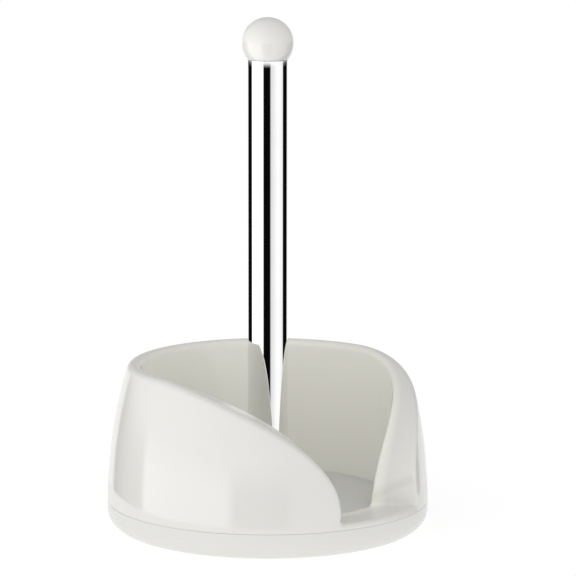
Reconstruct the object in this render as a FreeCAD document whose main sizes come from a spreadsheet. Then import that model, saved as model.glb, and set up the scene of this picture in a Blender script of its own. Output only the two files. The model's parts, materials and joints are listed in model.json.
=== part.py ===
import FreeCAD, Part
import Sketcher
import math
import os

# A free-standing paper towel holder. A round, double-walled cup with a splayed tear opening stands
# on a weighted base, and a chromed post with a ball knob rises from its middle.
#
# Frame: +Z up along the post. The origin is on the post's axis, at the plane the feet rest on.
# The tear opening faces -Y. Its +X flank stands a little steeper than its -X flank.

V = FreeCAD.Vector
doc = FreeCAD.newDocument("paper_towel_holder")

# ---------------------------------------------------------------------------------------------
# Driving dimensions, in millimetres and degrees
# ---------------------------------------------------------------------------------------------

DIMENSIONS = {
    # whole object
    "base_radius": 100.3,
    "overall_height": 320.0,
    "foot_standoff": 1.2,
    "skin": 2.5,
    # cup
    "parting_height": 18.4,
    "rim_height": 104.8,
    "wall_lean": 13.4,
    "well_radius_top": 79.3,
    "well_radius_floor": 74.8,
    "floor_height": 19.4,
    "ledge_height": 22.2,
    "opening_inner_angle": 11.5,
    "opening_splay_angle_plus_x": 9.8,
    "opening_splay_angle_minus_x": 8.2,
    "rim_flat_angle_plus_x": 91.0,
    "rim_flat_angle_minus_x": 97.0,
    "rim_power_plus_x": 1.95,
    "rim_power_minus_x": 1.68,
    "rim_outer_round": 3.5,
    "rim_inner_round": 3.0,
    "opening_root_round": 3.0,
    # base cover
    "cover_gap": 0.2,
    "cover_round": 12.0,
    "cover_inner_round": 8.0,
    "cover_inner_radius": 95.3,
    "cover_tongue_radius": 97.2,
    "cover_tongue_rise": 0.9,
    "rib_gap": 0.5,
    "parting_chamfer": 0.3,
    # well pad
    "pad_radius": 74.2,
    "pad_thick": 1.5,
    "pad_hole_radius": 13.2,
    # ballast
    "ballast_radius": 72.0,
    "ballast_thick": 5.0,
    "ballast_height": 7.4,
    "ballast_hole_radius": 12.5,
    # screws and bosses
    "cover_screw_ring": 82.0,
    "cover_boss_radius": 4.5,
    "cover_turret_radius": 6.0,
    "cover_turret_top": 6.5,
    "screw_recess_radius": 4.2,
    "screw_recess_depth": 3.0,
    "screw_hole_radius": 1.9,
    "screw_shank_radius": 1.75,
    "cover_screw_head_radius": 3.5,
    "screw_head_thick": 2.2,
    "cover_screw_long": 14.0,
    "ballast_screw_ring": 45.0,
    "ballast_boss_radius": 4.0,
    "ballast_screw_head_radius": 3.8,
    "ballast_screw_long": 8.0,
    "drive_slot_width": 1.0,
    "drive_slot_depth": 1.1,
    # feet
    "foot_ring": 62.0,
    "foot_radius": 8.0,
    "foot_thick": 3.0,
    # post
    "post_radius": 12.5,
    "post_wall": 1.0,
    "post_edge_break": 0.3,
    "post_top": 294.0,
    "washer_thick": 0.8,
    "washer_radius": 12.2,
    "plug_gap": 0.05,
    "lower_plug_long": 30.0,
    "upper_plug_long": 20.0,
    # post thread
    "stud_radius": 3.9,
    "thread_clearance": 0.05,
    "stud_lower_end": 7.0,
    "stud_upper_end": 42.0,
    "hub_radius": 11.0,
    "hub_foot": 5.5,
    "insert_radius": 6.9,
    "insert_foot": 6.0,
    "insert_head": 16.5,
    # knob
    "ball_radius": 16.0,
    "knob_gap": 0.1,
    "knob_recess_radius": 11.3,
    "knob_recess_depth": 0.8,
    "knob_washer_radius": 11.0,
    "knob_washer_thick": 0.6,
    "knob_stud_radius": 2.95,
    "knob_stud_lower_end": 286.0,
    "knob_stud_upper_end": 307.0,
    "knob_insert_radius": 4.8,
    "knob_insert_foot": 295.2,
    "knob_insert_head": 309.0,
}

sheet = doc.addObject("Spreadsheet::Sheet", "Dimensions")
for row, (alias, value) in enumerate(DIMENSIONS.items(), start=1):
    sheet.set("A%d" % row, alias)
    sheet.set("B%d" % row, str(value))
    sheet.setAlias("B%d" % row, alias)
doc.recompute()


def size(alias):
    """A driving dimension, read back from the sheet."""
    return float(sheet.get(alias))


def cell(text):
    """An expression in terms of the sheet: each word that is an alias gets the sheet's name."""
    words = []
    for word in text.split(" "):
        words.append("Dimensions." + word if word in DIMENSIONS else word)
    return " ".join(words)


# ---------------------------------------------------------------------------------------------
# Small helpers for bodies, sketches and primitives
# ---------------------------------------------------------------------------------------------

HORIZONTAL_AXIS = -1
VERTICAL_AXIS = -2
ORIGIN_POINT = 1
FOUR_WAYS = (45, 135, 225, 315)
THREE_WAYS = (90, 210, 330)


def new_body(label, height="0"):
    """An empty body whose own XY plane stands at the given height."""
    body = doc.addObject("PartDesign::Body", label)
    body.Label = label
    body.setExpression("Placement.Base.z", cell(height))
    return body


def origin_feature(body, role):
    return next(f for f in body.Origin.OriginFeatures if f.Role == role)


def new_sketch(body, name, role="XY_Plane"):
    sketch = body.newObject("Sketcher::SketchObject", name)
    sketch.AttachmentSupport = [(origin_feature(body, role), "")]
    sketch.MapMode = "FlatFace"
    return sketch


def bind(sketch, constraint, expression):
    index = sketch.addConstraint(constraint)
    sketch.setExpression("Constraints[%d]" % index, cell(expression))


def place_point(sketch, geometry, point, x_text, y_text):
    """Fix a sketch point by its distances from the origin. A distance of 0 puts it on that axis."""
    for kind, text, axis in (("DistanceX", x_text, VERTICAL_AXIS), ("DistanceY", y_text, HORIZONTAL_AXIS)):
        if text == "0":
            sketch.addConstraint(Sketcher.Constraint("PointOnObject", geometry, point, axis))
        else:
            rule = Sketcher.Constraint(kind, HORIZONTAL_AXIS, ORIGIN_POINT, geometry, point, 1.0)
            bind(sketch, rule, text)


def add_circle(sketch, radius, x_text="0", y_text="0", near=(0.0, 0.0)):
    circle = sketch.addGeometry(Part.Circle(V(near[0], near[1], 0), V(0, 0, 1), 1.0))
    bind(sketch, Sketcher.Constraint("Radius", circle, 1.0), radius)
    place_point(sketch, circle, 3, x_text, y_text)


def add_ring_of_circles(sketch, radius, ring, angles):
    """Equal circles round the Z axis, at angles counted from the +X axis."""
    for angle in angles:
        near = (math.cos(math.radians(angle)), math.sin(math.radians(angle)))
        along = "%s * cos(%d deg)" % (ring, angle) if abs(near[0]) > 1e-9 else "0"
        across = "%s * sin(%d deg)" % (ring, angle) if abs(near[1]) > 1e-9 else "0"
        add_circle(sketch, radius, along, across, near)


def add_polygon(sketch, corners):
    """A closed outline through corners given as pairs of expressions, each fixed to the sheet."""
    numbers = []
    for x_text, y_text in corners:
        numbers.append(V(value_of(x_text), value_of(y_text), 0))
    count = len(corners)
    for k in range(count):
        sketch.addGeometry(Part.LineSegment(numbers[k], numbers[(k + 1) % count]))
    for k in range(count):
        sketch.addConstraint(Sketcher.Constraint("Coincident", k, 2, (k + 1) % count, 1))
    for k, (x_text, y_text) in enumerate(corners):
        place_point(sketch, k, 1, x_text, y_text)


def value_of(text):
    """The number behind a plain sum of aliases and numbers."""
    total = 0.0
    sign = 1.0
    for word in text.split(" "):
        if word == "+":
            sign = 1.0
        elif word == "-":
            sign = -1.0
        else:
            total += sign * (size(word) if word in DIMENSIONS else float(word))
    return total


def add_pad(body, sketch, length, name):
    pad = body.newObject("PartDesign::Pad", name)
    pad.Profile = sketch
    pad.setExpression("Length", cell(length))
    sketch.Visibility = False
    return pad


def add_pocket(body, sketch, depth, name):
    """A pocket that goes up from the body's XY plane, checked to have taken material away."""
    doc.recompute()
    before = body.Shape.Volume
    pocket = body.newObject("PartDesign::Pocket", name)
    pocket.Profile = sketch
    pocket.Reversed = True
    pocket.setExpression("Length", cell(depth))
    doc.recompute()
    if body.Shape.Volume >= before - 1e-6:
        raise ValueError(name + " cuts nothing")
    return pocket


def turned(label, corners, height="0"):
    """A body of revolution about Z, from an outline of (radius, height) corners."""
    body = new_body(label, height)
    sketch = new_sketch(body, label + "_outline", "XZ_Plane")
    add_polygon(sketch, corners)
    turn = body.newObject("PartDesign::Revolution", label + "_turn")
    turn.Profile = sketch
    turn.ReferenceAxis = (sketch, ["V_Axis"])
    turn.Angle = 360.0
    doc.recompute()
    return body


def round_edge(body, label, kind, radius, at_radius, at_height):
    """Fillet or chamfer the circular edge that has the given radius and local height."""
    doc.recompute()
    base = body.Tip
    names = []
    for number, edge in enumerate(base.Shape.Edges, start=1):
        circle = edge.Curve
        if circle.TypeId != "Part::GeomCircle":
            continue
        level = circle.Center.z
        same = abs(circle.Radius - value_of(at_radius)) < 0.01 and abs(level - value_of(at_height)) < 0.01
        if same:
            names.append("Edge%d" % number)
    feature = body.newObject("PartDesign::" + kind, label)
    feature.Base = (base, names)
    feature.setExpression("Radius" if kind == "Fillet" else "Size", cell(radius))
    doc.recompute()


def cylinder(name, radius, length, height="0", x_text="0", y_text="0"):
    """A Part cylinder with its sizes and place bound to the sheet."""
    tool = doc.addObject("Part::Cylinder", name)
    tool.setExpression("Radius", cell(radius))
    tool.setExpression("Height", cell(length))
    tool.setExpression("Placement.Base.x", cell(x_text))
    tool.setExpression("Placement.Base.y", cell(y_text))
    tool.setExpression("Placement.Base.z", cell(height))
    return tool


def cut(label, base, tool):
    result = doc.addObject("Part::Cut", label)
    result.Label = label
    result.Base = base
    result.Tool = tool
    return result


def fuse(label, shapes):
    result = doc.addObject("Part::MultiFuse", label)
    result.Label = label
    result.Shapes = shapes
    return result


# ---------------------------------------------------------------------------------------------
# Cup: outline of the double wall
# ---------------------------------------------------------------------------------------------

TRIM_ALLOWANCE = 4.5
CUTTER_TOP = 130.0
RIM_STEPS = 24
SIDE_NAMES = {1: "plus_x", -1: "minus_x"}
RULING_INNER_RADIUS = 76.0
RULING_OUTER_RADIUS = 98.0
RULING_REACH = (-0.5, 1.6)


def outer_radius(height, inset=0.0):
    """The outer wall is one arc, upright at the parting line and leaning in towards the rim."""
    rise = size("rim_height") - size("parting_height")
    lean = size("wall_lean")
    arc = (rise ** 2 + lean ** 2) / (2 * lean)
    above = height - size("parting_height")
    return size("base_radius") - arc + math.sqrt((arc - inset) ** 2 - above ** 2)


def well_radius(height):
    """The well's wall has a straight draft from the floor out to the rim."""
    share = (height - size("floor_height")) / (size("rim_height") - size("floor_height"))
    spread = size("well_radius_top") - size("well_radius_floor")
    return size("well_radius_floor") + spread * share


def wall_arc(low, high, inset):
    points = []
    for height in (low, (low + high) / 2, high):
        points.append(V(0, outer_radius(height, inset), height))
    return Part.Arc(*points).toShape()


def turned_solid(arc, corners):
    """Revolve about Z the outline made of one arc and the straight lines between the corners."""
    edges = [arc]
    for start, end in zip(corners, corners[1:]):
        edges.append(Part.makeLine(V(0, start[0], start[1]), V(0, end[0], end[1])))
    face = Part.Face(Part.Wire(edges))
    return face.revolve(V(0, 0, 0), V(0, 0, 1), 360)


def cup_block():
    """The cup before its opening is cut and its wall is hollowed."""
    top = size("rim_height") + TRIM_ALLOWANCE
    parting = size("parting_height")
    floor = size("floor_height")
    skirt = size("well_radius_floor") + size("skin")
    corners = [
        (outer_radius(top), top),
        (well_radius(top), top),
        (size("well_radius_floor"), floor),
        (0, floor),
        (0, floor - size("skin")),
        (skirt, floor - size("skin")),
        (skirt, parting),
        (size("base_radius"), parting),
    ]
    return turned_solid(wall_arc(parting, top, 0), corners)


def wall_hollow():
    """The space between the two skins, open underneath."""
    top = size("rim_height") + TRIM_ALLOWANCE
    parting = size("parting_height")
    skin = size("skin")
    below = parting - 2 * skin
    corners = [
        (outer_radius(top, skin), top),
        (well_radius(top) + skin, top),
        (size("well_radius_floor") + skin, size("floor_height")),
        (size("well_radius_floor") + skin, below),
        (outer_radius(parting, skin), below),
        (outer_radius(parting, skin), parting),
    ]
    return turned_solid(wall_arc(parting, top, skin), corners)


# ---------------------------------------------------------------------------------------------
# Cup: the rim line. It rises from the ledge as a superellipse and runs level round the back.
# Every ruling of the cut is a level line from the well's side to the outer side, and near the
# ledge the outer end stands further round, so the opening splays outwards.
# ---------------------------------------------------------------------------------------------


def rim_point(turn, reach, side, sink, widen):
    """A point on the cut. turn goes from 0 at the ledge to 90 degrees at the level rim."""
    power = size("rim_power_" + SIDE_NAMES[side])
    flat = size("rim_flat_angle_" + SIDE_NAMES[side])
    splay = size("opening_splay_angle_" + SIDE_NAMES[side])
    rise = math.sin(turn) ** (2 / power)
    run = math.cos(turn) ** (2 / power)
    inner = flat - (flat - size("opening_inner_angle") - widen) * run
    outer = inner + splay * (1 - rise) ** 2
    height = size("ledge_height") - sink + (size("rim_height") - size("ledge_height")) * rise
    start = polar(RULING_INNER_RADIUS, inner, side, height)
    end = polar(RULING_OUTER_RADIUS, outer, side, height)
    return start + (end - start) * reach


def polar(radius, angle, side, height):
    """A point at an angle counted from the middle of the opening, to either side."""
    turn = math.radians(angle)
    return V(side * radius * math.sin(turn), -radius * math.cos(turn), height)


def rim_loop(reach, sink, widen, height=None):
    """The closed line of one end of the rulings: right rise, back, left rise, ledge."""
    rises = {}
    ends = {}
    for side in (1, -1):
        points = []
        for step in range(RIM_STEPS + 1):
            point = rim_point(math.pi / 2 * step / RIM_STEPS, reach, side, sink, widen)
            points.append(V(point.x, point.y, point.z if height is None else height))
        if side < 0:
            points.reverse()
        curve = Part.BSplineCurve()
        curve.interpolate(points)
        rises[side] = curve.toShape()
        ends[side] = (points[0], points[-1])
    back = V(0, math.hypot(ends[1][1].x, ends[1][1].y), ends[1][1].z)
    front = V(0, -math.hypot(ends[1][0].x, ends[1][0].y), ends[1][0].z)
    back_arc = Part.Arc(ends[1][1], back, ends[-1][0]).toShape()
    ledge_arc = Part.Arc(ends[-1][1], front, ends[1][0]).toShape()
    return [rises[1], back_arc, rises[-1], ledge_arc]


def rim_cutter(sink=0.0, widen=0.0):
    """Everything above the rim, as a closed ring of faces. sink and widen move it into the wall."""
    inner = rim_loop(RULING_REACH[0], sink, widen)
    outer = rim_loop(RULING_REACH[1], sink, widen)
    inner_top = rim_loop(RULING_REACH[0], sink, widen, CUTTER_TOP)
    outer_top = rim_loop(RULING_REACH[1], sink, widen, CUTTER_TOP)
    faces = []
    for k in range(len(inner)):
        faces.append(Part.makeRuledSurface(inner[k], outer[k]))
        faces.append(Part.makeRuledSurface(inner[k], inner_top[k]))
        faces.append(Part.makeRuledSurface(outer[k], outer_top[k]))
    lid = Part.Face(Part.Wire(outer_top)).cut(Part.Face(Part.Wire(inner_top)))
    sewn = Part.makeCompound(faces + lid.Faces)
    sewn.sewShape()
    solid = Part.Solid(Part.Shell(sewn.Faces))
    if solid.Volume < 0:
        solid.reverse()
    return solid


# ---------------------------------------------------------------------------------------------
# Cup: rounding, hollow, ribs and bosses
# ---------------------------------------------------------------------------------------------

EDGE_SAMPLES = 9
FIT_TOLERANCE = 0.2


def samples(edge):
    """(radius, height) at even steps along an edge."""
    span = edge.LastParameter - edge.FirstParameter
    found = []
    for k in range(EDGE_SAMPLES):
        point = edge.valueAt(edge.FirstParameter + span * k / (EDGE_SAMPLES - 1))
        found.append((math.hypot(point.x, point.y), point.z))
    return found


def edges_on(shape, radius_at):
    """The rim's edges that lie on the wall whose radius at each height is given."""
    lowest = size("ledge_height") - FIT_TOLERANCE
    found = []
    for edge in shape.Edges:
        spots = samples(edge)
        above = min(height for _, height in spots) > lowest
        on_wall = all(abs(radius - radius_at(height)) < FIT_TOLERANCE for radius, height in spots)
        if above and on_wall:
            found.append(edge)
    return found


def opening_roots(shape):
    """The two inside corners where the opening's faces meet the ledge."""
    found = []
    for edge in shape.Edges:
        spots = samples(edge)
        level = all(abs(height - size("ledge_height")) < 0.01 for _, height in spots)
        across = abs(spots[0][0] - spots[-1][0]) > 10
        if level and across:
            found.append(edge)
    return found


def upright(radius, ring, angle, low, high):
    turn = math.radians(angle)
    place = V(ring * math.cos(turn), ring * math.sin(turn), low)
    return Part.makeCylinder(radius, high - low, place)


RIB_THICK = 1.6
RIB_TOP = 46.0


def rib(angle, low):
    """A plate across the hollow wall, which ties a screw boss to both skins."""
    length = size("base_radius")
    plate = Part.makeBox(length, RIB_THICK, RIB_TOP - low, V(0, -RIB_THICK / 2, low))
    plate.rotate(V(0, 0, 0), V(0, 0, 1), angle)
    return plate


def cup_shape():
    skin = size("skin")
    parting = size("parting_height")
    block = cup_block().cut(rim_cutter())
    block = block.makeFillet(size("opening_root_round"), opening_roots(block))
    block = block.makeFillet(size("rim_outer_round"), edges_on(block, outer_radius))
    block = block.makeFillet(size("rim_inner_round"), edges_on(block, well_radius))

    widen = math.degrees(skin / size("well_radius_floor"))
    hollow = wall_hollow().cut(rim_cutter(skin, widen))
    rib_foot = parting + size("cover_tongue_rise") + size("rib_gap")
    for angle in FOUR_WAYS:
        stiffener = rib(angle, rib_foot)
        boss = upright(size("cover_boss_radius"), size("cover_screw_ring"), angle, parting, RIB_TOP)
        hollow = hollow.cut(stiffener.fuse(boss))
    shell = block.cut(hollow)

    under = size("floor_height") - skin
    additions = [upright(size("hub_radius"), 0, 0, size("hub_foot"), under)]
    pilot = size("screw_shank_radius")
    removals = [
        upright(size("insert_radius"), 0, 0, size("hub_foot") - 1, size("insert_head")),
        upright(size("stud_radius") + 0.4, 0, 0, size("insert_head") - 1, size("floor_height") + 1),
    ]
    for angle in FOUR_WAYS:
        ring = size("cover_screw_ring")
        low = size("cover_turret_top")
        additions.append(upright(size("cover_boss_radius"), ring, angle, low, parting))
        removals.append(upright(pilot, ring, angle, low - 1, low + size("cover_screw_long")))
    for angle in THREE_WAYS:
        ring = size("ballast_screw_ring")
        low = size("ballast_height") + size("ballast_thick")
        additions.append(upright(size("ballast_boss_radius"), ring, angle, low, under))
        removals.append(upright(pilot, ring, angle, low - 1, under - 0.5))
    shell = shell.fuse(additions)
    shell = shell.cut(removals)
    return shell.removeSplitter()


cup_shell = doc.addObject("Part::Feature", "cup_shell")
cup_shell.Label = "cup_shell"
cup_shell.Shape = cup_shape()
cup_shell.Placement = FreeCAD.Placement()

# ---------------------------------------------------------------------------------------------
# Base cover: a dish under the cup, flush with it at the parting line
# ---------------------------------------------------------------------------------------------

COVER_TOP = "parting_height - cover_gap - foot_standoff"
base_cover = turned(
    "base_cover",
    [
        ("0", "0"),
        ("base_radius", "0"),
        ("base_radius", COVER_TOP),
        ("cover_tongue_radius", COVER_TOP),
        ("cover_tongue_radius", COVER_TOP + " + cover_tongue_rise"),
        ("cover_inner_radius", COVER_TOP + " + cover_tongue_rise"),
        ("cover_inner_radius", "skin"),
        ("0", "skin"),
    ],
    "foot_standoff",
)
round_edge(base_cover, "cover_bottom_round", "Fillet", "cover_round", "base_radius", "0")
round_edge(base_cover, "cover_inside_round", "Fillet", "cover_inner_round", "cover_inner_radius", "skin")
round_edge(base_cover, "cover_parting_bevel", "Chamfer", "parting_chamfer", "base_radius", COVER_TOP)

turrets = new_sketch(base_cover, "cover_turret_outline")
add_ring_of_circles(turrets, "cover_turret_radius", "cover_screw_ring", FOUR_WAYS)
add_pad(base_cover, turrets, "cover_turret_top - foot_standoff", "cover_turrets")

COVER_POCKETS = (
    ("screw_recess", "screw_recess_radius", "cover_screw_ring", FOUR_WAYS, "screw_recess_depth"),
    ("screw_hole", "screw_hole_radius", "cover_screw_ring", FOUR_WAYS, "cover_turret_top"),
    ("foot_recess", "foot_radius", "foot_ring", FOUR_WAYS, "foot_thick - foot_standoff"),
)
for name, radius, ring, angles, depth in COVER_POCKETS:
    outline = new_sketch(base_cover, name + "_outline")
    add_ring_of_circles(outline, radius, ring, angles)
    add_pocket(base_cover, outline, depth, name)

# ---------------------------------------------------------------------------------------------
# Feet: four rubber discs, each set into its recess under the cover
# ---------------------------------------------------------------------------------------------

for number, angle in enumerate(FOUR_WAYS, start=1):
    label = "foot_%d" % number
    corners = [("0", "0"), ("foot_radius", "0"), ("foot_radius", "foot_thick"), ("0", "foot_thick")]
    foot = turned(label, corners)
    round_edge(foot, label + "_round", "Fillet", "post_edge_break", "foot_radius", "0")
    foot.setExpression("Placement.Base.x", cell("foot_ring * cos(%d deg)" % angle))
    foot.setExpression("Placement.Base.y", cell("foot_ring * sin(%d deg)" % angle))

# ---------------------------------------------------------------------------------------------
# Flat rings: well pad, ballast plate and the two washers
# ---------------------------------------------------------------------------------------------


def flat_ring(label, radius, hole, thick, height):
    body = new_body(label, height)
    outline = new_sketch(body, label + "_outline")
    add_circle(outline, radius)
    add_circle(outline, hole)
    add_pad(body, outline, thick, label + "_pad")
    return body


well_pad = flat_ring("well_pad", "pad_radius", "pad_hole_radius", "pad_thick", "floor_height")
flat_ring("post_washer", "washer_radius", "stud_radius + 0.6", "washer_thick", "floor_height")
flat_ring("knob_washer", "knob_washer_radius", "knob_stud_radius + 0.4", "knob_washer_thick", "post_top")

ballast_plate = flat_ring(
    "ballast_plate", "ballast_radius", "ballast_hole_radius", "ballast_thick", "ballast_height"
)
plate_holes = new_sketch(ballast_plate, "ballast_screw_holes_outline")
add_ring_of_circles(plate_holes, "screw_hole_radius", "ballast_screw_ring", THREE_WAYS)
add_pocket(ballast_plate, plate_holes, "ballast_thick", "ballast_screw_holes")

# ---------------------------------------------------------------------------------------------
# Screws: pan heads with a cross recess, one group for the cover and one for the ballast
# ---------------------------------------------------------------------------------------------


def screw_group(label, ring, angles, head_radius, shank_long, head_foot):
    """Screws pointing up, their heads' undersides at head_foot plus the head's thickness."""
    screws = []
    for number, angle in enumerate(angles, start=1):
        at_x = "%s * cos(%d deg)" % (ring, angle)
        at_y = "%s * sin(%d deg)" % (ring, angle)
        tag = "%s_%d" % (label, number)
        head = cylinder(tag + "_head", head_radius, "screw_head_thick", head_foot, at_x, at_y)
        foot = head_foot + " + screw_head_thick - 0.2"
        shank = cylinder(tag + "_shank", "screw_shank_radius", shank_long + " + 0.2", foot, at_x, at_y)
        solid = fuse(tag + "_blank", [head, shank])
        for arm, (long_side, short_side) in enumerate((("x", "y"), ("y", "x")), start=1):
            slot = doc.addObject("Part::Box", "%s_slot_%d" % (tag, arm))
            sides = {"x": "Length", "y": "Width"}
            slot.setExpression(sides[long_side], cell("drive_slot_width * 4"))
            slot.setExpression(sides[short_side], cell("drive_slot_width"))
            slot.setExpression("Height", cell("drive_slot_depth"))
            places = {"x": at_x, "y": at_y}
            half = {long_side: "drive_slot_width * 2", short_side: "drive_slot_width / 2"}
            for axis in ("x", "y"):
                slot.setExpression("Placement.Base." + axis, cell(places[axis] + " - " + half[axis]))
            slot.setExpression("Placement.Base.z", cell(head_foot))
            solid = cut("%s_cut_%d" % (tag, arm), solid, slot)
        screws.append(solid)
    group = doc.addObject("Part::Compound", label)
    group.Label = label
    group.Links = screws
    return group


screw_group(
    "cover_screws",
    "cover_screw_ring",
    FOUR_WAYS,
    "cover_screw_head_radius",
    "cover_screw_long",
    "foot_standoff + screw_recess_depth - screw_head_thick",
)
screw_group(
    "ballast_screws",
    "ballast_screw_ring",
    THREE_WAYS,
    "ballast_screw_head_radius",
    "ballast_screw_long",
    "ballast_height - screw_head_thick",
)

# ---------------------------------------------------------------------------------------------
# Post: chromed tube, its two plugs, its stud and the threaded insert in the cup's hub.
# Threads are plain cylinders with a running clearance.
# ---------------------------------------------------------------------------------------------

POST_FOOT = "floor_height + washer_thick"
post_tube = turned(
    "post_tube",
    [
        ("post_radius - post_wall", "0"),
        ("post_radius", "0"),
        ("post_radius", "post_top - floor_height - washer_thick"),
        ("post_radius - post_wall", "post_top - floor_height - washer_thick"),
    ],
    POST_FOOT,
)
round_edge(post_tube, "post_foot_break", "Chamfer", "post_edge_break", "post_radius", "0")
round_edge(
    post_tube,
    "post_top_break",
    "Chamfer",
    "post_edge_break",
    "post_radius",
    "post_top - floor_height - washer_thick",
)

PLUG_RADIUS = "post_radius - post_wall - plug_gap"
flat_ring("lower_plug", PLUG_RADIUS, "stud_radius", "lower_plug_long", POST_FOOT)

stud = new_body("post_stud", "stud_lower_end")
stud_outline = new_sketch(stud, "post_stud_outline")
add_circle(stud_outline, "stud_radius")
add_pad(stud, stud_outline, "stud_upper_end - stud_lower_end", "post_stud_pad")

flat_ring(
    "hub_insert",
    "insert_radius",
    "stud_radius + thread_clearance",
    "insert_head - insert_foot",
    "insert_foot",
)
flat_ring(
    "upper_plug",
    PLUG_RADIUS,
    "knob_stud_radius + thread_clearance",
    "upper_plug_long",
    "post_top - upper_plug_long",
)

# ---------------------------------------------------------------------------------------------
# Knob: a ball flattened where it meets the tube, with its insert and stud
# ---------------------------------------------------------------------------------------------

ball = doc.addObject("Part::Sphere", "ball_blank")
ball.setExpression("Radius", cell("ball_radius"))
ball.setExpression("Placement.Base.z", cell("overall_height - ball_radius"))
KNOB_FOOT = "post_top + knob_gap"
FLAT_CUT = "ball_radius * 2"
below_ball = cylinder("ball_flat_cut", FLAT_CUT, FLAT_CUT, KNOB_FOOT + " - " + FLAT_CUT)
recess = cylinder("ball_recess_cut", "knob_recess_radius", "knob_recess_depth", KNOB_FOOT)
socket = cylinder(
    "ball_socket_cut",
    "knob_insert_radius",
    "knob_insert_head - knob_insert_foot + 1",
    "knob_insert_foot - 1",
)
cut("ball_knob", ball, fuse("ball_cuts", [below_ball, recess, socket]))

flat_ring(
    "knob_insert",
    "knob_insert_radius",
    "knob_stud_radius",
    "knob_insert_head - knob_insert_foot",
    "knob_insert_foot",
)

knob_stud = new_body("knob_stud", "knob_stud_lower_end")
knob_stud_outline = new_sketch(knob_stud, "knob_stud_outline")
add_circle(knob_stud_outline, "knob_stud_radius")
add_pad(knob_stud, knob_stud_outline, "knob_stud_upper_end - knob_stud_lower_end", "knob_stud_pad")

# ---------------------------------------------------------------------------------------------
# Check every object, then write one STEP file per piece
# ---------------------------------------------------------------------------------------------

NODES = (
    "cup_shell",
    "base_cover",
    "well_pad",
    "ballast_plate",
    "ballast_screws",
    "cover_screws",
    "foot_1",
    "foot_2",
    "foot_3",
    "foot_4",
    "hub_insert",
    "post_washer",
    "post_tube",
    "lower_plug",
    "post_stud",
    "upper_plug",
    "knob_washer",
    "ball_knob",
    "knob_insert",
    "knob_stud",
)

doc.recompute()
failed = []
for item in doc.Objects:
    if "Invalid" in item.State or "Error" in item.State:
        failed.append(item.Label)
if failed:
    raise ValueError("failed objects: " + ", ".join(failed))

os.makedirs("parts", exist_ok=True)
pieces = {}
for node in NODES:
    piece = doc.getObjectsByLabel(node)[0]
    if piece.Shape.isNull() or not piece.Shape.isValid():
        raise ValueError(node + " has no valid shape")
    pieces[node] = piece.Shape
for node, shape in pieces.items():
    shape.exportStep("parts/%s.step" % node)
    print("%-16s %2d solid(s) %12.1f mm3" % (node, len(shape.Solids), shape.Volume))
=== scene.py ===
import json
import math

import bmesh
import bpy
import numpy as np
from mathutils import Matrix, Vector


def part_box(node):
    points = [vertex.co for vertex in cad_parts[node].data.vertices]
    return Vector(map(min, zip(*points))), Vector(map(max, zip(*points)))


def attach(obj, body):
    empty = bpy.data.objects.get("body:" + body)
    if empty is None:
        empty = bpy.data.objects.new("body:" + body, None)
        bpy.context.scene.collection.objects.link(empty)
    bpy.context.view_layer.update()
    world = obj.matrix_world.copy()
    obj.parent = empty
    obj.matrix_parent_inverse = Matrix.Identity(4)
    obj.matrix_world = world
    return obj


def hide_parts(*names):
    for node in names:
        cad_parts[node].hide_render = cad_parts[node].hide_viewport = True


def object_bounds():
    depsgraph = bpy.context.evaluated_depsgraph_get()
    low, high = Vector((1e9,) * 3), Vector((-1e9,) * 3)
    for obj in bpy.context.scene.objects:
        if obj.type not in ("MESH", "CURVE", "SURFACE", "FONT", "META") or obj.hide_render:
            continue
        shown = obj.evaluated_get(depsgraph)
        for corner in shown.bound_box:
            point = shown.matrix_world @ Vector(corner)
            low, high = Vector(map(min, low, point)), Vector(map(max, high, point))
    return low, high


# A free-standing paper towel holder: a glossy white cup with a splayed tear opening on a weighted
# base, and a chromed post with a ball knob. All lengths are metres, in the part's own frame.

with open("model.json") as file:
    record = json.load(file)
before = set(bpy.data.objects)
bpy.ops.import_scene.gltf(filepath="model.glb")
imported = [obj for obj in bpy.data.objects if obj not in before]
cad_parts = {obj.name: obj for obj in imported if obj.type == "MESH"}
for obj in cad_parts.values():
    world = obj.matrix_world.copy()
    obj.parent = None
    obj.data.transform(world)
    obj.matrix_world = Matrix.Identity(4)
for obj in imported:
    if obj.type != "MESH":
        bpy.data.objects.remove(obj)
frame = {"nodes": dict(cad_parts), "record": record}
nodes = frame["nodes"]
cad_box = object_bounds()

MM = 0.001

# ---------------------------------------------------------------------------------------------
# Mesh helpers
# ---------------------------------------------------------------------------------------------


def new_object(name, vertices, faces):
    mesh = bpy.data.meshes.new(name)
    mesh.from_pydata([tuple(v) for v in vertices], [], faces)
    mesh.validate()
    made = bpy.data.objects.new(name, mesh)
    bpy.context.scene.collection.objects.link(made)
    return made


def outward(made):
    """Point every face of a closed mesh outwards."""
    work = bmesh.new()
    work.from_mesh(made.data)
    bmesh.ops.remove_doubles(work, verts=work.verts, dist=1e-7)
    bmesh.ops.recalc_face_normals(work, faces=work.faces)
    work.to_mesh(made.data)
    work.free()


def smooth(made, sharp_over=35.0):
    made.data.shade_smooth()
    made.data.set_sharp_from_angle(angle=math.radians(sharp_over))


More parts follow.
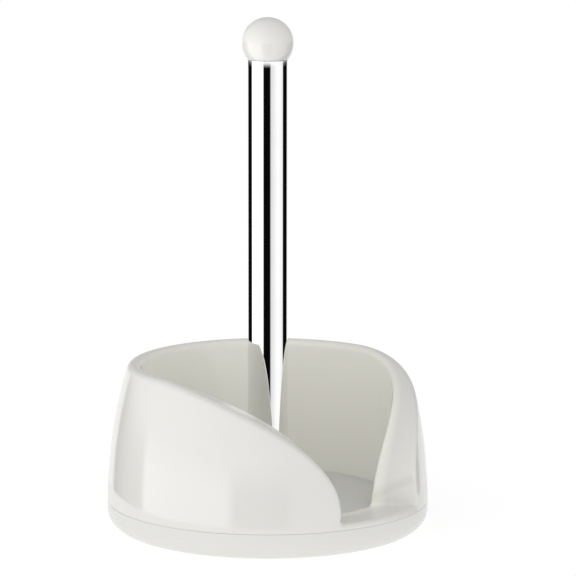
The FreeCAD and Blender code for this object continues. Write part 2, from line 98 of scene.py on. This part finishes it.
def lathe(name, outline, steps=256, sharp_over=35.0):
    """A closed outline of (radius, height) points turned round Z. Points on the axis become one."""
    vertices = []
    rings = []
    for radius, height in outline:
        if radius < 1e-9:
            rings.append([len(vertices)] * steps)
            vertices.append((0.0, 0.0, height))
            continue
        start = len(vertices)
        rings.append([start + k for k in range(steps)])
        for k in range(steps):
            turn = 2 * math.pi * k / steps
            vertices.append((radius * math.cos(turn), radius * math.sin(turn), height))
    faces = []
    for low, high in zip(rings, rings[1:] + rings[:1]):
        for k in range(steps):
            corners = [low[k], low[(k + 1) % steps], high[(k + 1) % steps], high[k]]
            unique = list(dict.fromkeys(corners))
            if len(unique) > 2:
                faces.append(unique)
    made = new_object(name, vertices, faces)
    outward(made)
    smooth(made, sharp_over)
    return made


def arc(centre, radius, start, end, steps):
    """Points on a circle in the (radius, height) plane, angles in degrees."""
    points = []
    for k in range(steps + 1):
        turn = math.radians(start + (end - start) * k / steps)
        points.append((centre[0] + radius * math.cos(turn), centre[1] + radius * math.sin(turn)))
    return points


# ---------------------------------------------------------------------------------------------
# Cup: the outline that the part is built to, and the rim's rounding
# ---------------------------------------------------------------------------------------------

BASE_R = 100.3 * MM
PARTING_Z = 18.4 * MM
RIM_Z = 104.8 * MM
WALL_LEAN = 13.4 * MM
WELL_R_TOP = 79.3 * MM
WELL_R_FLOOR = 74.8 * MM
FLOOR_Z = 19.4 * MM
LEDGE_Z = 22.2 * MM
OPENING_ANGLE = 11.5
OPENING_SPLAY = {-1: 8.2, 1: 9.8}
# The opening's flank on the -X side rises more slowly than the one on the +X side.
RIM_FLAT_ANGLE = {-1: 97.0, 1: 91.0}
RIM_POWER = {-1: 1.68, 1: 1.95}
RULING_R = (76.0 * MM, 98.0 * MM)
ROOT_ROUND = 3.2 * MM
PARTING_BEVEL = 0.15 * MM
SKIN = 2.5 * MM

WALL_ARC = ((RIM_Z - PARTING_Z) ** 2 + WALL_LEAN**2) / (2 * WALL_LEAN)
WELL_DRAFT = (WELL_R_TOP - WELL_R_FLOOR) / (RIM_Z - FLOOR_Z)


def outer_radius(height):
    return BASE_R - WALL_ARC + np.sqrt(WALL_ARC**2 - (height - PARTING_Z) ** 2)


def well_radius(height):
    return WELL_R_FLOOR + WELL_DRAFT * (height - FLOOR_Z)


def outer_skin_inside(height):
    return outer_radius(height) - SKIN


def well_skin_inside(height):
    return well_radius(height) + SKIN


def polar(radius, angle, height):
    """Points at angles, in degrees, counted from the middle of the opening towards +X."""
    turn = np.radians(angle)
    return np.stack([radius * np.sin(turn), -radius * np.cos(turn), height + 0 * turn], axis=-1)


def angle_of(points):
    return np.degrees(np.arctan2(points[:, 0], -points[:, 1]))


def radial(points, slope):
    """The unit normal of a surface of revolution whose radius grows by slope per unit of height."""
    flat = points[:, :2] / np.linalg.norm(points[:, :2], axis=1)[:, None]
    normal = np.concatenate([flat, -slope[:, None]], axis=1)
    return normal / np.linalg.norm(normal, axis=1)[:, None]


def unit(vectors):
    return vectors / np.linalg.norm(vectors, axis=1)[:, None]


LEDGE_COLUMNS = 36
ROOT_COLUMNS = 14
RISE_COLUMNS = 210
BACK_COLUMNS = 130


def rise_angles(turn, side):
    """Inner and outer angle and height of the rim where it rises, for turn from 0 to 90 degrees."""
    rise = np.sin(turn) ** (2 / RIM_POWER[side])
    run = np.cos(turn) ** (2 / RIM_POWER[side])
    inner = RIM_FLAT_ANGLE[side] - (RIM_FLAT_ANGLE[side] - OPENING_ANGLE) * run
    outer = inner + OPENING_SPLAY[side] * (1 - rise) ** 2
    return inner, outer, LEDGE_Z + (RIM_Z - LEDGE_Z) * rise


def quadratic(share, start, corner, end):
    """A quadratic curve from start to end that leans towards corner."""
    return (1 - share) ** 2 * start + 2 * share * (1 - share) * corner + share**2 * end


def rim_columns(side):
    """Inner angle, outer angle and height of each column of one half, opening to back."""
    root_turn = math.asin((ROOT_ROUND / (RIM_Z - LEDGE_Z)) ** (RIM_POWER[side] / 2))
    turns = root_turn + (np.pi / 2 - root_turn) * np.linspace(0, 1, RISE_COLUMNS)
    inner, outer, rise_z = rise_angles(turns, side)
    corners = (OPENING_ANGLE, OPENING_ANGLE + OPENING_SPLAY[side])
    blend = np.linspace(0, 1, ROOT_COLUMNS + 1)[1:-1]
    edges = []
    for rising, corner, radius in zip((inner, outer), corners, RULING_R):
        ledge = np.linspace(0, corner - math.degrees(ROOT_ROUND / radius), LEDGE_COLUMNS)
        bend = quadratic(blend, ledge[-1], corner, rising[0])
        back = np.linspace(rising[-1], 180.0, BACK_COLUMNS + 1)[1:]
        edges.append(np.concatenate([ledge, bend, rising, back]))
    ledge_z = np.full(LEDGE_COLUMNS, LEDGE_Z)
    bend_z = quadratic(blend, LEDGE_Z, LEDGE_Z, rise_z[0])
    back_z = np.full(BACK_COLUMNS, RIM_Z)
    return edges[0], edges[1], np.concatenate([ledge_z, bend_z, rise_z, back_z])


def meet(start, direction, radius):
    """Where the level lines from start along direction reach the given radius."""
    a = (direction[:, :2] ** 2).sum(1)
    b = 2 * (start[:, :2] * direction[:, :2]).sum(1)
    c = (start[:, :2] ** 2).sum(1) - radius**2
    reach = (-b + np.sqrt(b * b - 4 * a * c)) / (2 * a)
    return start + direction * reach[:, None]


def rounding(edge, along_wall, along_rim, radius, steps, onto_wall):
    """Arcs that round an edge, from the wall to the rim, one per column."""
    bend = np.pi - np.arccos(np.clip((along_wall * along_rim).sum(1), -1, 1))
    reach = radius * np.tan(bend / 2)
    handle = (4 / 3) * np.tan(bend / 4) * radius
    on_wall = onto_wall(edge + along_wall * reach[:, None])
    on_rim = edge + along_rim * reach[:, None]
    first = on_wall + unit(edge - on_wall) * handle[:, None]
    second = on_rim - along_rim * handle[:, None]
    rows = []
    for share in np.linspace(0, 1, steps + 1):
        left = 1 - share
        near_wall = left**3 * on_wall + 3 * share * left**2 * first
        near_rim = 3 * share**2 * left * second + share**3 * on_rim
        rows.append(near_wall + near_rim)
    return rows


def along_edge(points):
    """Unit directions along an edge that starts and ends square to the plane of symmetry."""
    directions = unit(np.gradient(points, axis=0))
    directions[0] = (1, 0, 0)
    directions[-1] = (-1, 0, 0)
    return directions


def onto(points, radius_at):
    """Points moved level onto a surface of revolution."""
    scale = radius_at(points[:, 2]) / np.linalg.norm(points[:, :2], axis=1)
    return np.concatenate([points[:, :2] * scale[:, None], points[:, 2:]], axis=1)


# How far the columns' feet on the walls run ahead of the ledge above: a factor and, at the root of
# the flank, some degrees more. It keeps the grid from folding there.
FOOT_LEAD = 1.25
FOOT_LEAD_AT_ROOT = 0.5


def foot_angles(points):
    """Angles of a wall's foot: ahead of the ledge, then in step with the rim's length."""
    steps = np.linalg.norm(np.diff(points, axis=0), axis=1)
    length = np.concatenate([[0], np.cumsum(steps)])
    root = LEDGE_COLUMNS + ROOT_COLUMNS - 1
    last = root + RISE_COLUMNS - 1
    angles = angle_of(points)
    angles[-1] = 180.0
    ledge = np.maximum.accumulate(angles[: root + 1])
    angles[: root + 1] = FOOT_LEAD * ledge + np.linspace(0, FOOT_LEAD_AT_ROOT, root + 1)
    share = (length[root:last] - length[root]) / (length[last] - length[root])
    angles[root:last] = angles[root] + share * (angles[last] - angles[root])
    return angles


def wall_rows(foot_angle, foot_z, top, radius_at, steps):
    """Rows of a wall from its foot to the edge of the rounding, straight in angle and height."""
    top_angle = angle_of(top)
    top_angle[-1] = 180.0
    rows = []
    for share in np.linspace(0, 1, steps + 1)[:-1]:
        angle = foot_angle + (top_angle - foot_angle) * share
        height = foot_z + (top[:, 2] - foot_z) * share
        rows.append(polar(radius_at(height), angle, height))
    return rows


FLOOR_ROUND = 1.0 * MM
HUB_HOLE_R = 4.3 * MM
HOLLOW_ROOF = 3.0 * MM
OUTER_ROUND_STEPS = 10
INNER_ROUND_STEPS = 8


def cup_rows(side):
    """Rows of one half's section: up the outside, over the rim, down the well, then the hollow."""
    inner_angle, outer_angle, height = rim_columns(side)
    start = polar(RULING_R[0], inner_angle, height)
    direction = polar(RULING_R[1], outer_angle, height) - start
    inner = meet(start, direction, well_radius(height))
    outer = meet(start, direction, outer_radius(height))
    across = unit(outer - inner)

    # Both roundings grow with the height of the rim, and most of all near its level part.
    climb = np.clip((height - LEDGE_Z) / (RIM_Z - LEDGE_Z), 0, 1)
    outer_round = (3.2 + 0.6 * climb + 0.9 * climb**4) * MM
    inner_round = (0.8 + 0.7 * climb + 2.5 * climb**6) * MM

    wall_slope = -(height - PARTING_Z) / np.sqrt(WALL_ARC**2 - (height - PARTING_Z) ** 2)
    into_outer = unit(np.cross(along_edge(outer), radial(outer, wall_slope)))
    into_inner = unit(np.cross(along_edge(inner), radial(inner, np.full(len(height), WELL_DRAFT))))
    outside = rounding(
        outer, into_outer, -across, outer_round, OUTER_ROUND_STEPS, lambda p: onto(p, outer_radius)
    )
    inside = rounding(
        inner, into_inner, across, inner_round, INNER_ROUND_STEPS, lambda p: onto(p, well_radius)
    )
    outer_foot = foot_angles(outer)
    inner_foot = foot_angles(inner)

    bevel_z = PARTING_Z + PARTING_BEVEL
    rows = [
        polar(BASE_R - SKIN, outer_foot, PARTING_Z),
        polar(BASE_R - PARTING_BEVEL, outer_foot, PARTING_Z),
    ]
    rows += wall_rows(outer_foot, bevel_z, outside[0], outer_radius, 34)
    rows += outside
    for share in np.linspace(0, 1, 7)[1:-1]:
        rows.append(outside[-1] + (inside[-1] - outside[-1]) * share)
    rows += inside[::-1]
    well = wall_rows(inner_foot, FLOOR_Z + FLOOR_ROUND, inside[0], well_radius, 30)
    rows += well[::-1]
    for share in (0.3, 0.6, 1.0):
        turn = math.pi / 2 * share
        radius = WELL_R_FLOOR - FLOOR_ROUND * (1 - math.cos(turn))
        rows.append(polar(radius, inner_foot, FLOOR_Z + FLOOR_ROUND * (1 - math.sin(turn))))
    under = FLOOR_Z - SKIN
    rows += [polar(HUB_HOLE_R, inner_foot, FLOOR_Z), polar(HUB_HOLE_R, inner_foot, under)]

    inner_top = onto(inner + into_inner * HOLLOW_ROOF, well_skin_inside)
    outer_top = onto(outer + into_outer * HOLLOW_ROOF, outer_skin_inside)
    rows += wall_rows(inner_foot, under, inner_top, well_skin_inside, 12)
    rows += [inner_top, outer_top]
    hollow = wall_rows(outer_foot, PARTING_Z, outer_top, outer_skin_inside, 12)
    rows += hollow[:0:-1]
    return np.array(rows)


def cup_mesh(name):
    """The whole cup as one closed grid: the +X half's columns, then the -X half's, turned over."""
    right = cup_rows(1)
    left = cup_rows(-1)[:, -2:0:-1, :] * np.array([-1, 1, 1])
    grid = np.concatenate([right, left], axis=1)
    rows, columns = grid.shape[:2]
    faces = []
    for i in range(rows):
        low = i * columns
        high = ((i + 1) % rows) * columns
        for k in range(columns):
            after = (k + 1) % columns
            faces.append((low + k, low + after, high + after, high + k))
    made = new_object(name, grid.reshape(-1, 3), faces)
    outward(made)
    smooth(made, 40.0)
    return made


def stand_in(piece, node, body):
    """Let a piece take a CAD node's place and body."""
    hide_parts(node)
    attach(piece, body)


cup = cup_mesh("cup")
stand_in(cup, "cup_shell", "base")

# ---------------------------------------------------------------------------------------------
# Other pieces
# ---------------------------------------------------------------------------------------------

STANDOFF = 1.2 * MM
COVER_TOP = 18.3 * MM
COVER_ROUND = 12.0 * MM
SCREW_RING = 82.0 * MM
SCREW_RECESS_R = 4.2 * MM
SCREW_RECESS_DEEP = 2.2 * MM
FOOT_RING = 62.0 * MM
FOOT_RECESS_R = 8.05 * MM
FOOT_RECESS_DEEP = 1.5 * MM
FOUR_WAYS = (45, 135, 225, 315)


def cutter_at(radius, ring, angle, high):
    """An upright round cutter that starts a little below the floor."""
    low = -1 * MM
    made = lathe("cutter", [(0, low), (radius, low), (radius, high), (0, high)], 64)
    turn = math.radians(angle)
    made.location = (ring * math.cos(turn), ring * math.sin(turn), 0)
    return made


def cut_away(made, cutters):
    """Subtract the cutters and remove them."""
    for tool in cutters:
        modifier = made.modifiers.new("cut", "BOOLEAN")
        modifier.operation = "DIFFERENCE"
        modifier.solver = "EXACT"
        modifier.object = tool
    bpy.context.view_layer.update()
    depsgraph = bpy.context.evaluated_depsgraph_get()
    result = bpy.data.meshes.new_from_object(made.evaluated_get(depsgraph))
    made.modifiers.clear()
    made.data = result
    for tool in cutters:
        bpy.data.objects.remove(tool)


def cover_mesh(name):
    """The dish under the cup, with recesses for its screws and feet."""
    bottom = STANDOFF
    flat = BASE_R - COVER_ROUND - 6.0 * MM
    inner = 95.3 * MM
    tongue = 97.2 * MM
    tongue_top = COVER_TOP + 0.9 * MM
    floor = bottom + SKIN
    inner_round = 8.0 * MM
    outline = [(0, bottom), (flat, bottom)]
    outline += arc((BASE_R - COVER_ROUND, bottom + COVER_ROUND), COVER_ROUND, -90, 0, 28)
    outline += [(BASE_R, COVER_TOP - PARTING_BEVEL), (BASE_R - PARTING_BEVEL, COVER_TOP)]
    outline += [(tongue, COVER_TOP), (tongue, tongue_top), (inner, tongue_top)]
    outline += arc((inner - inner_round, floor + inner_round), inner_round, 0, -90, 12)
    outline += [(0, floor)]
    made = lathe(name, outline, 360)
    cutters = []
    for angle in FOUR_WAYS:
        cutters.append(cutter_at(SCREW_RECESS_R, SCREW_RING, angle, bottom + SCREW_RECESS_DEEP))
        cutters.append(cutter_at(FOOT_RECESS_R, FOOT_RING, angle, bottom + FOOT_RECESS_DEEP))
    cut_away(made, cutters)
    smooth(made, 30.0)
    return made


def pad_mesh(name):
    """The grey disc on the well's floor, with a soft edge at its rim and round the post."""
    low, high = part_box("well_pad")
    radius, hole, top = high.x, 13.2 * MM, high.z
    soft = 0.6 * MM
    outline = [(hole, low.z), (radius, low.z)]
    outline += arc((radius - soft, top - soft), soft, 0, 90, 6)
    outline += arc((hole + soft, top - soft), soft, 90, 180, 6)
    return lathe(name, outline, 288)


def post_mesh(name):
    """The tube, with its cut ends rounded off a little."""
    low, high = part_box("post_tube")
    radius = 12.5 * MM
    bore = 11.5 * MM
    edge = 0.3 * MM
    outline = [(bore, low.z), (radius - edge, low.z)]
    outline += arc((radius - edge, low.z + edge), edge, -90, 0, 5)
    for share in np.linspace(0, 1, 60)[1:-1]:
        outline.append((radius, low.z + (high.z - low.z) * share))
    outline += arc((radius - edge, high.z - edge), edge, 0, 90, 5)
    outline.append((bore, high.z))
    return lathe(name, outline, 256)


def ball_mesh(name):
    """The ball, flat where it meets the tube, hollowed for its washer and insert."""
    top = cad_box[1][2]
    radius = 16.0 * MM
    centre = top - radius
    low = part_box("ball_knob")[0].z
    edge = 0.25 * MM
    edge_turn = 0.8
    bore = 4.8 * MM
    bore_top = low + 15.0 * MM
    washer = 11.3 * MM
    washer_top = low + 0.8 * MM
    flat = math.sqrt(radius**2 - (centre - low) ** 2)
    start = math.degrees(math.asin((low - centre) / radius))
    outline = [(bore, washer_top), (washer, washer_top), (washer, low), (flat - edge, low)]
    outline += arc((0, centre), radius, start + edge_turn, 90, 72)[:-1]
    outline += [(0, top), (0, bore_top), (bore, bore_top)]
    return lathe(name, outline, 192)


def thread_mesh(name, node, depth, pitch, steps=48, rows_per_turn=10):
    """A stud with a helical ridge, as long and as thick as the plain one it stands in for."""
    low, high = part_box(node)
    radius = high.x
    end_radius = radius - 1.2 * depth
    rows = int((high.z - low.z) / pitch * rows_per_turn)
    vertices = []
    for i in range(rows + 1):
        height = low.z + (high.z - low.z) * i / rows
        for k in range(steps):
            phase = ((height - low.z) / pitch - k / steps) % 1.0
            at = radius - depth * abs(2 * phase - 1)
            if i in (0, rows):
                at = end_radius
            turn = 2 * math.pi * k / steps
            vertices.append((at * math.cos(turn), at * math.sin(turn), height))
    faces = [tuple(range(steps)), tuple(rows * steps + k for k in range(steps))]
    for low_row in range(0, rows * steps, steps):
        high_row = low_row + steps
        for k in range(steps):
            after = (k + 1) % steps
            faces.append((low_row + k, low_row + after, high_row + after, high_row + k))
    made = new_object(name, vertices, faces)
    outward(made)
    smooth(made, 28.0)
    return made


cover = cover_mesh("cover")
stand_in(cover, "base_cover", "base")

pad = pad_mesh("pad")
stand_in(pad, "well_pad", "base")

tube = post_mesh("tube")
stand_in(tube, "post_tube", "post")

ball = ball_mesh("ball")
stand_in(ball, "ball_knob", "knob")

post_thread = thread_mesh("post_thread", "post_stud", 0.70 * MM, 1.25 * MM)
stand_in(post_thread, "post_stud", "post")

knob_thread = thread_mesh("knob_thread", "knob_stud", 0.55 * MM, 1.0 * MM)
stand_in(knob_thread, "knob_stud", "knob")

# ---------------------------------------------------------------------------------------------
# Materials
# ---------------------------------------------------------------------------------------------


class Shader:
    """A Principled material and short calls for the nodes that feed it."""

    def __init__(self, name, **sockets):
        self.material = bpy.data.materials.new(name)
        self.material.use_nodes = True
        self.tree = self.material.node_tree
        self.main = self.tree.nodes["Principled BSDF"]
        for key, value in sockets.items():
            self.main.inputs[key.replace("_", " ")].default_value = value
        self.position = self.tree.nodes.new("ShaderNodeTexCoord").outputs["Object"]

    def noise(self, scale, detail=3.0, stretch=(1, 1, 1)):
        place = self.tree.nodes.new("ShaderNodeMapping")
        place.inputs["Scale"].default_value = stretch
        self.tree.links.new(self.position, place.inputs["Vector"])
        node = self.tree.nodes.new("ShaderNodeTexNoise")
        node.inputs["Scale"].default_value = scale
        node.inputs["Detail"].default_value = detail
        self.tree.links.new(place.outputs["Vector"], node.inputs["Vector"])
        return node.outputs["Fac"]

    def remap(self, factor, low, high):
        """Map a noise's middle range to values between low and high."""
        node = self.tree.nodes.new("ShaderNodeMapRange")
        node.inputs["From Min"].default_value = 0.3
        node.inputs["From Max"].default_value = 0.7
        node.inputs["To Min"].default_value = low
        node.inputs["To Max"].default_value = high
        self.tree.links.new(factor, node.inputs["Value"])
        return node.outputs["Result"]

    def tint(self, factor, first, second):
        node = self.tree.nodes.new("ShaderNodeMix")
        node.data_type = "RGBA"
        node.inputs["A"].default_value = (*first, 1)
        node.inputs["B"].default_value = (*second, 1)
        self.tree.links.new(self.remap(factor, 0, 1), node.inputs["Factor"])
        self.tree.links.new(node.outputs["Result"], self.main.inputs["Base Color"])
        return node.outputs["Result"]

    def paint_well_light(self, outside, inner, start, end):
        """Fade the colour to a lighter, warmer inner one over the span of radii from end down to
        start: painted bounce light inside the well.
        """
        flat = self.tree.nodes.new("ShaderNodeVectorMath")
        flat.operation = "MULTIPLY"
        flat.inputs[1].default_value = (1, 1, 0)
        length = self.tree.nodes.new("ShaderNodeVectorMath")
        length.operation = "LENGTH"
        fade = self.tree.nodes.new("ShaderNodeMapRange")
        fade.inputs["From Min"].default_value = start
        fade.inputs["From Max"].default_value = end
        node = self.tree.nodes.new("ShaderNodeMix")
        node.data_type = "RGBA"
        node.inputs["A"].default_value = (*inner, 1)
        self.tree.links.new(self.position, flat.inputs[0])
        self.tree.links.new(flat.outputs["Vector"], length.inputs[0])
        self.tree.links.new(length.outputs["Value"], fade.inputs["Value"])
        self.tree.links.new(fade.outputs["Result"], node.inputs["Factor"])
        self.tree.links.new(outside, node.inputs["B"])
        self.tree.links.new(node.outputs["Result"], self.main.inputs["Base Color"])

    def rough(self, factor, low, high):
        self.tree.links.new(self.remap(factor, low, high), self.main.inputs["Roughness"])

    def bump(self, factor, depth, strength=1.0):
        node = self.tree.nodes.new("ShaderNodeBump")
        node.inputs["Distance"].default_value = depth
        node.inputs["Strength"].default_value = strength
        self.tree.links.new(factor, node.inputs["Height"])
        self.tree.links.new(node.outputs["Normal"], self.main.inputs["Normal"])


# Radii over which the painted bounce light in the well fades in.
PAINTED_WELL_LIGHT_FROM = 79.0 * MM
PAINTED_WELL_LIGHT_TO = 84.0 * MM


def gloss_plastic(name, first, second, inner=None):
    """Glossy white moulding. The well's side can be painted lighter and warmer than the outside, as
    painted bounce light.
    """
    shader = Shader(name, Specular_IOR_Level=0.5, IOR=1.5, Coat_Weight=0.15, Coat_Roughness=0.04)
    outside = shader.tint(shader.noise(9.0), first, second)
    if inner:
        shader.paint_well_light(outside, inner, PAINTED_WELL_LIGHT_FROM, PAINTED_WELL_LIGHT_TO)
    shader.rough(shader.noise(40.0, 5.0), 0.07, 0.11)
    shader.bump(shader.noise(260.0, 2.0), 0.00004, 0.12)
    return shader.material


def chrome_plate(name):
    """Bright plating whose slight haze runs in long streaks up the post."""
    shader = Shader(name, Metallic=1.0)
    shader.tint(shader.noise(30.0), (0.90, 0.90, 0.91), (0.94, 0.94, 0.94))
    shader.rough(shader.noise(60.0, 4.0, (1, 1, 0.05)), 0.01, 0.025)
    return shader.material


def soft_rubber(name, first, second, grain=2200.0, gloss=0.35):
    """Dull rubber with a fine moulded grain."""
    shader = Shader(name, Specular_IOR_Level=gloss)
    shader.tint(shader.noise(25.0), first, second)
    shader.rough(shader.noise(200.0), 0.55, 0.7)
    shader.bump(shader.noise(grain, 2.0), 0.0001, 0.35)
    return shader.material


def plain_metal(name, first, second):
    """Bare or zinc-plated metal with a fine rolled grain."""
    shader = Shader(name, Metallic=1.0)
    shader.tint(shader.noise(50.0), first, second)
    shader.rough(shader.noise(400.0, 4.0), 0.25, 0.42)
    shader.bump(shader.noise(1500.0), 0.00003, 0.3)
    return shader.material


def nylon(name):
    """Pale moulded nylon, duller than the outer mouldings."""
    shader = Shader(name, Specular_IOR_Level=0.4)
    shader.tint(shader.noise(60.0), (0.78, 0.77, 0.74), (0.82, 0.81, 0.78))
    shader.rough(shader.noise(300.0), 0.4, 0.5)
    shader.bump(shader.noise(1200.0), 0.00003, 0.3)
    return shader.material


# The cup's inner colour is painted light: one white moulding, painted lighter and warmer inside the
# well to stand in for the light bounced round there.
WHITE_CUP = gloss_plastic(
    "white_cup", (0.785, 0.778, 0.746), (0.795, 0.788, 0.756), inner=(0.94, 0.93, 0.86)
)
# The cover's white is painted shade: a slightly darker copy of the cup's white, standing in for the
# weaker light that falls on the base ring.
SHADED_WHITE_COVER = gloss_plastic("shaded_white_cover", (0.765, 0.76, 0.73), (0.775, 0.77, 0.74))
WHITE_KNOB = gloss_plastic("white_knob", (0.835, 0.828, 0.803), (0.845, 0.838, 0.813))
CHROME = chrome_plate("chrome")
PAD_RUBBER = soft_rubber("pad_rubber", (0.715, 0.715, 0.705), (0.745, 0.745, 0.735), gloss=0.12)
FOOT_RUBBER = soft_rubber("foot_rubber", (0.085, 0.085, 0.09), (0.1, 0.1, 0.105), grain=900.0)
STEEL = plain_metal("zinc_steel", (0.50, 0.50, 0.51), (0.58, 0.58, 0.60))
BRASS = plain_metal("brass", (0.62, 0.45, 0.20), (0.70, 0.53, 0.26))
NYLON = nylon("nylon")

LOOKS = {
    "cup_white": WHITE_CUP,
    "cover_white": SHADED_WHITE_COVER,
    "knob_white": WHITE_KNOB,
    "chrome": CHROME,
    "pad_grey": PAD_RUBBER,
    "foot_rubber": FOOT_RUBBER,
    "steel": STEEL,
    "screw_steel": STEEL,
    "brass": BRASS,
    "washer_nylon": NYLON,
}


def paint(made, material):
    made.data.materials.clear()
    made.data.materials.append(material)


PIECES = (
    (cup, "cup_white"),
    (cover, "cover_white"),
    (pad, "pad_grey"),
    (tube, "chrome"),
    (ball, "knob_white"),
    (post_thread, "screw_steel"),
    (knob_thread, "screw_steel"),
)
for piece, slot_name in PIECES:
    paint(piece, LOOKS[slot_name])
for part in frame["record"]["subparts"]:
    paint(nodes[part["node"]], LOOKS[part["material_slot"]])

# ---------------------------------------------------------------------------------------------
# Camera, stage and light
# ---------------------------------------------------------------------------------------------

CAMERA_AZIMUTH = math.radians(-46.0)
CAMERA_ELEVATION = math.radians(9.5)
CAMERA_DISTANCE = 2.1
CAMERA_AIM = (0.0, 0.0, 0.150)
CAMERA_LENS = 211.2
CAMERA_SHIFT = (0.0352, 0.0044)


def add_camera():
    data = bpy.data.cameras.new("camera")
    data.lens = CAMERA_LENS
    data.shift_x, data.shift_y = CAMERA_SHIFT
    made = bpy.data.objects.new("camera", data)
    level = math.cos(CAMERA_ELEVATION) * CAMERA_DISTANCE
    made.location = (
        CAMERA_AIM[0] + level * math.sin(CAMERA_AZIMUTH),
        CAMERA_AIM[1] - level * math.cos(CAMERA_AZIMUTH),
        CAMERA_AIM[2] + math.sin(CAMERA_ELEVATION) * CAMERA_DISTANCE,
    )
    made.rotation_euler = (math.pi / 2 - CAMERA_ELEVATION, 0, CAMERA_AZIMUTH)
    bpy.context.scene.collection.objects.link(made)
    bpy.context.scene.camera = made


# The floor glows as a lit studio table does. It throws a little less light onto the object than it
# shows by itself.
FLOOR_RADIUS = 0.20
FLOOR_DEPTH = 0.004
FLOOR_GLOW = 0.75
FLOOR_GLOW_ON_OBJECT = 0.66
FLOOR_COLOUR = 0.38


def add_floor():
    """A plain pale round floor."""
    outline = [(0, -FLOOR_DEPTH), (FLOOR_RADIUS, -FLOOR_DEPTH), (FLOOR_RADIUS, 0), (0, 0)]
    made = lathe("floor", outline, 128)
    shader = Shader("floor_white", Roughness=0.9, Specular_IOR_Level=0.0)
    shader.main.inputs["Base Color"].default_value = (FLOOR_COLOUR, FLOOR_COLOUR, FLOOR_COLOUR, 1)
    shader.main.inputs["Emission Color"].default_value = (1, 1, 1, 1)
    glow = shader.tree.nodes.new("ShaderNodeMapRange")
    glow.inputs["To Min"].default_value = FLOOR_GLOW_ON_OBJECT
    glow.inputs["To Max"].default_value = FLOOR_GLOW
    seen = shader.tree.nodes.new("ShaderNodeLightPath").outputs["Is Camera Ray"]
    shader.tree.links.new(seen, glow.inputs["Value"])
    shader.tree.links.new(glow.outputs["Result"], shader.main.inputs["Emission Strength"])
    paint(made, shader.material)


# The studio round the table at the horizon and below: pairs of an angle from the camera's side,
# positive to the right, and the brightness there. A white wall is behind the object, with dark
# gaps beside it, a window to the left and a reflector to the right.
STUDIO = (
    (-180, 1.0), (-149, 1.0), (-144, 0.003), (-103, 0.003), (-98, 2.0), (-29, 2.0), (-23.5, 0.003),
    (13.5, 0.003), (18, 0.78), (34, 0.91), (48, 1.03), (62, 1.1), (75, 1.05), (94, 0.93), (98, 0.003),
    (138, 0.003), (144, 1.0), (180, 1.0),
)
# Above the horizon the strips give way to a soft dome: its brightness at the sides, how much it
# gains towards its bright side, where that side is from the camera's, and how much it loses
# overhead. The last two are the sines of the heights between which the dome takes over.
DOME_SIDE = 0.97
DOME_FRONT = 0.38
DOME_TURN = math.radians(-18.0)
DOME_FALL = 0.42
DOME_FROM, DOME_FULL = -0.09, 0.10


def add_world():
    """Soft studio light from all round, seen by the camera as a plain white background."""
    world = bpy.data.worlds.new("studio")
    bpy.context.scene.world = world
    world.use_nodes = True
    tree = world.node_tree
    tree.nodes.clear()
    add = tree.nodes.new
    link = tree.links.new
    direction = add("ShaderNodeTexCoord").outputs["Generated"]

    def along(axis):
        """How far the light's direction goes along an axis."""
        node = add("ShaderNodeVectorMath")
        node.operation = "DOT_PRODUCT"
        node.inputs[1].default_value = axis
        link(direction, node.inputs[0])
        return node.outputs["Value"]

    def number(operation, first, second):
        """A Math node's result, from sockets or plain numbers."""
        node = add("ShaderNodeMath")
        node.operation = operation
        for socket, value in zip(node.inputs, (first, second)):
            if isinstance(value, float):
                socket.default_value = value
            else:
                link(value, socket)
        return node.outputs["Value"]

    azimuth = CAMERA_AZIMUTH
    toward = along((math.sin(azimuth), -math.cos(azimuth), 0))
    bright = along((math.sin(azimuth + DOME_TURN), -math.cos(azimuth + DOME_TURN), 0))
    right = along((math.cos(azimuth), math.sin(azimuth), 0))
    up = along((0, 0, 1))

    angle = number("ARCTAN2", right, toward)
    share = number("MULTIPLY_ADD", angle, 1 / (2 * math.pi))
    share.node.inputs[2].default_value = 0.5
    ramp = add("ShaderNodeValToRGB")
    link(share, ramp.inputs["Fac"])
    peak = max(value for _, value in STUDIO)
    stops = ramp.color_ramp.elements
    while len(stops) < len(STUDIO):
        stops.new(0.5)
    for stop, (degrees, value) in zip(stops, STUDIO):
        stop.position = degrees / 360 + 0.5
        stop.color = (value / peak, value / peak, value / peak, 1)
    strips = number("MULTIPLY", ramp.outputs["Color"], peak)

    lean = number("MULTIPLY_ADD", bright, DOME_FRONT)
    lean.node.inputs[2].default_value = DOME_SIDE
    dome = number("SUBTRACT", lean, number("MULTIPLY", up, DOME_FALL))
    lift = add("ShaderNodeMapRange")
    lift.interpolation_type = "SMOOTHSTEP"
    lift.inputs["From Min"].default_value = DOME_FROM
    lift.inputs["From Max"].default_value = DOME_FULL
    link(up, lift.inputs["Value"])
    mix = add("ShaderNodeMix")
    link(lift.outputs["Result"], mix.inputs["Factor"])
    link(strips, mix.inputs["A"])
    link(dome, mix.inputs["B"])

    studio = add("ShaderNodeBackground")
    studio.inputs["Color"].default_value = (1, 1, 1, 1)
    link(mix.outputs["Result"], studio.inputs["Strength"])
    backdrop = add("ShaderNodeBackground")
    backdrop.inputs["Color"].default_value = (1, 1, 1, 1)
    backdrop.inputs["Strength"].default_value = 1.0
    choose = add("ShaderNodeMixShader")
    link(add("ShaderNodeLightPath").outputs["Is Camera Ray"], choose.inputs["Fac"])
    link(studio.outputs["Background"], choose.inputs[1])
    link(backdrop.outputs["Background"], choose.inputs[2])
    link(choose.outputs["Shader"], add("ShaderNodeOutputWorld").inputs["Surface"])


add_camera()
add_floor()
add_world()
bpy.context.scene.view_settings.view_transform = "Standard"
